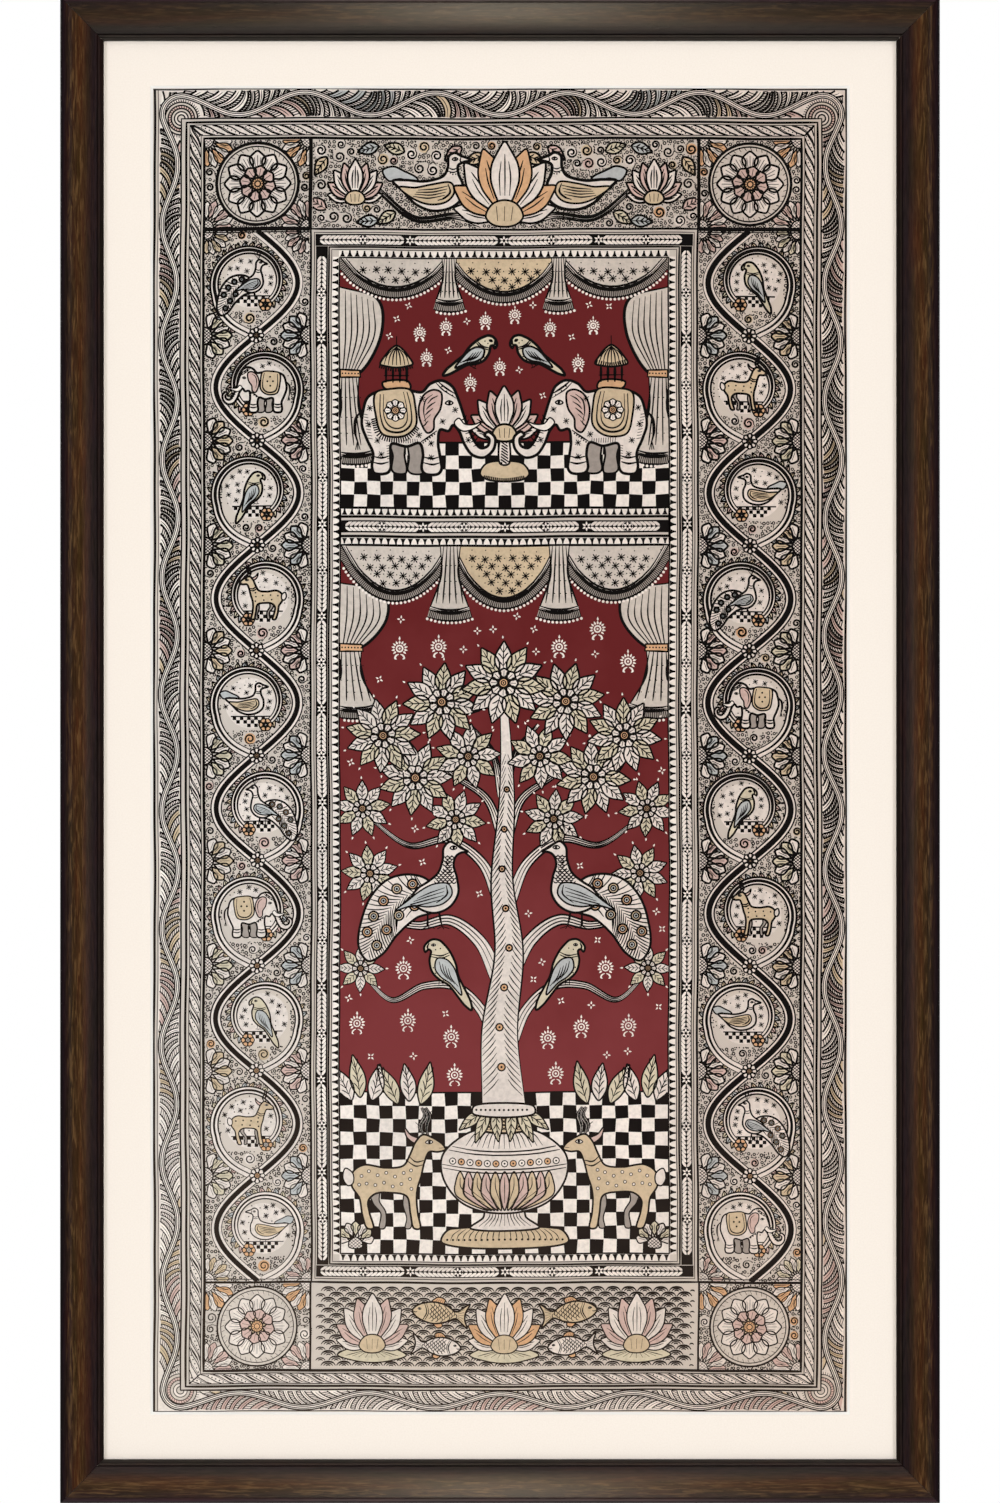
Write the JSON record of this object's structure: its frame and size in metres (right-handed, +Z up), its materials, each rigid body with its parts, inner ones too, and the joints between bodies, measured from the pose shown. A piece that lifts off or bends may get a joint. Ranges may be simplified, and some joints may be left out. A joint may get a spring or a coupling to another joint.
{
  "type": "pattachitra painting on cloth in its wooden frame",
  "caption": "Upright painted cloth panel with patterned borders, behind a cream window mount in a dark moulded wooden frame, hung on a wall.",
  "frame": {"origin": "on the wall plane, at the middle of the back of the frame's top rail", "axes": "+X to the right along the top rail, +Y into the wall, +Z up the picture; the painting faces -Y"},
  "size_m": [0.611, 0.023, 1.046],
  "materials": {
    "frame_wood": "dark brown wood grain, satin lacquer",
    "mount_card": "matt cream mount board with a white bevel",
    "painted_fabric": "primed cotton cloth, greyish beige, painted with matt colours and black line",
    "backing_hardboard": "plain brown hardboard"
  },
  "bodies": {
    "root": {"frame_rail_top": "frame_wood", "frame_rail_bottom": "frame_wood", "frame_rail_left": "frame_wood", "frame_rail_right": "frame_wood", "mount_board": "mount_card", "painted_cloth": "painted_fabric", "backing_board": "backing_hardboard"}
  },
  "joints": []
}
